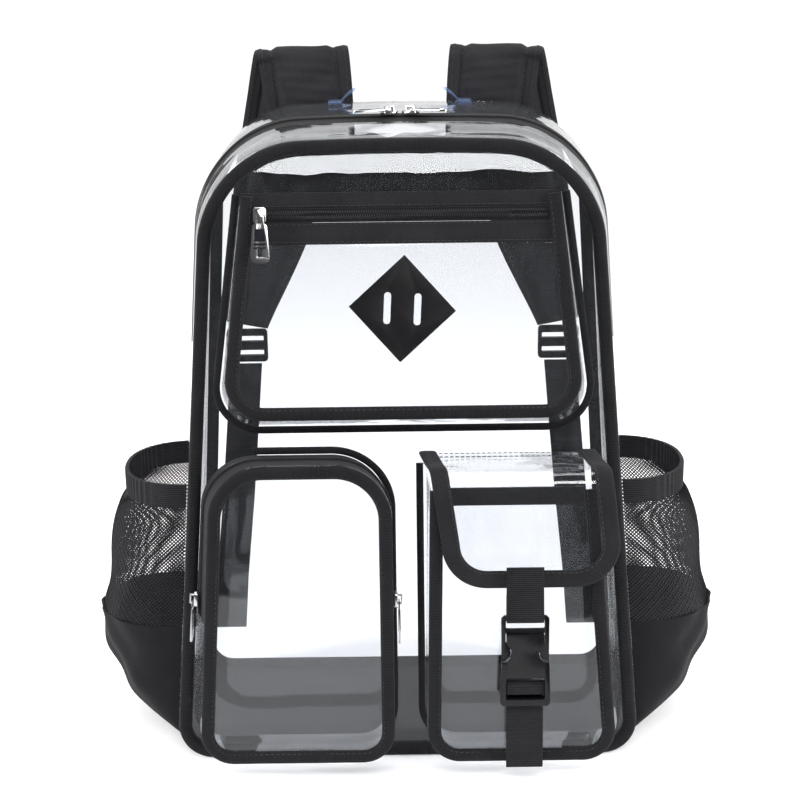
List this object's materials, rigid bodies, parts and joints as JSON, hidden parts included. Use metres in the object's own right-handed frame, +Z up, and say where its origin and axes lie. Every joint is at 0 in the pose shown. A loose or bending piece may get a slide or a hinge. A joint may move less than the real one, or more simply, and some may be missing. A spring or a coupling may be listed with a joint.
{
  "type": "clear vinyl backpack",
  "caption": "Clear vinyl backpack with black trim, zipped front pockets, a buckled flap pocket, net side pockets and padded straps.",
  "frame": {"origin": "middle of the flat base, on the surface that the bag stands on", "axes": "+X to the right seen from the front, +Y to the back with the straps, +Z up"},
  "size_m": [0.4498, 0.269, 0.4899],
  "materials": {
    "clear_vinyl": "clear polished vinyl sheet",
    "tinted_vinyl": "bluish clear vinyl",
    "base_fabric": "dark woven cloth",
    "binding_tape": "ribbed black binding tape",
    "zip_tape": "black zip tape with a nylon coil",
    "webbing": "ribbed black webbing",
    "black_fabric": "matte black woven cloth",
    "black_net": "black mesh netting",
    "black_plastic": "smooth black moulded plastic",
    "bright_metal": "bright plated metal",
    "black_enamel": "black enamel in a bright metal rim"
  },
  "bodies": {
    "bag": {"front_panel": "clear_vinyl", "back_panel": "clear_vinyl", "side_panel_left": "clear_vinyl", "side_panel_right": "clear_vinyl", "top_strip_front": "clear_vinyl", "top_strip_rear": "clear_vinyl", "upper_pocket_front": "clear_vinyl", "upper_pocket_gusset": "clear_vinyl", "left_pocket_front": "clear_vinyl", "left_pocket_gusset": "clear_vinyl", "right_pocket_front": "clear_vinyl", "right_pocket_gusset": "clear_vinyl", "flap": "clear_vinyl", "carry_handle": "tinted_vinyl", "base_panel": "base_fabric", "front_binding": "binding_tape", "back_binding": "binding_tape", "upper_pocket_piping": "binding_tape", "upper_pocket_seam": "binding_tape", "upper_band_top": "binding_tape", "upper_band_bottom": "binding_tape", "left_pocket_piping": "binding_tape", "left_pocket_seam": "binding_tape", "right_pocket_piping": "binding_tape", "right_pocket_seam": "binding_tape", "right_pocket_hem": "binding_tape", "flap_binding": "binding_tape", "main_zip": "zip_tape", "upper_zip": "zip_tape", "left_pocket_zip": "zip_tape", "webbing_upper": "webbing", "webbing_lower": "webbing", "strap_webbing_left": "webbing", "strap_webbing_right": "webbing", "side_base_left": "black_fabric", "side_base_right": "black_fabric", "side_elastic_left": "black_fabric", "side_elastic_right": "black_fabric", "yoke": "black_fabric", "strap_left": "black_fabric", "strap_right": "black_fabric", "lash_tab": "black_fabric", "side_mesh_left": "black_net", "side_mesh_right": "black_net", "buckle_male": "black_plastic", "buckle_female": "black_plastic", "ladder_lock_left": "black_plastic", "ladder_lock_right": "black_plastic", "main_slider_left": "bright_metal", "main_slider_right": "bright_metal", "upper_slider": "bright_metal", "left_slider_inner": "bright_metal", "left_slider_outer": "bright_metal"},
    "main_pull_left_body": {"main_pull_left": "black_enamel"},
    "main_pull_right_body": {"main_pull_right": "black_enamel"},
    "upper_pull_body": {"upper_pull": "black_enamel"},
    "left_pull_inner_body": {"left_pull_inner": "black_enamel"},
    "left_pull_outer_body": {"left_pull_outer": "black_enamel"}
  },
  "joints": [
    {"name": "main_pull_left_swing", "type": "hinge", "parent": "bag", "child": "main_pull_left_body", "pos_m": [-0.0084, -0.02067, 0.44996], "axis": [-0.5592, 0.829, 0], "range_deg": [0, 95]},
    {"name": "main_pull_right_swing", "type": "hinge", "parent": "bag", "child": "main_pull_right_body", "pos_m": [0.0084, -0.02067, 0.44996], "axis": [-0.5592, -0.829, 0], "range_deg": [0, 95]},
    {"name": "upper_pull_swing", "type": "hinge", "parent": "bag", "child": "upper_pull_body", "pos_m": [-0.09275, -0.0916, 0.3861], "axis": [-1, 0, 0], "range_deg": [0, 125]},
    {"name": "left_pull_inner_swing", "type": "hinge", "parent": "bag", "child": "left_pull_inner_body", "pos_m": [-0.00475, -0.1028, 0.12404], "axis": [0, -1, 0], "range_deg": [0, 30]},
    {"name": "left_pull_outer_swing", "type": "hinge", "parent": "bag", "child": "left_pull_outer_body", "pos_m": [-0.14534, -0.1028, 0.12664], "axis": [0, 1, 0], "range_deg": [0, 125]}
  ]
}
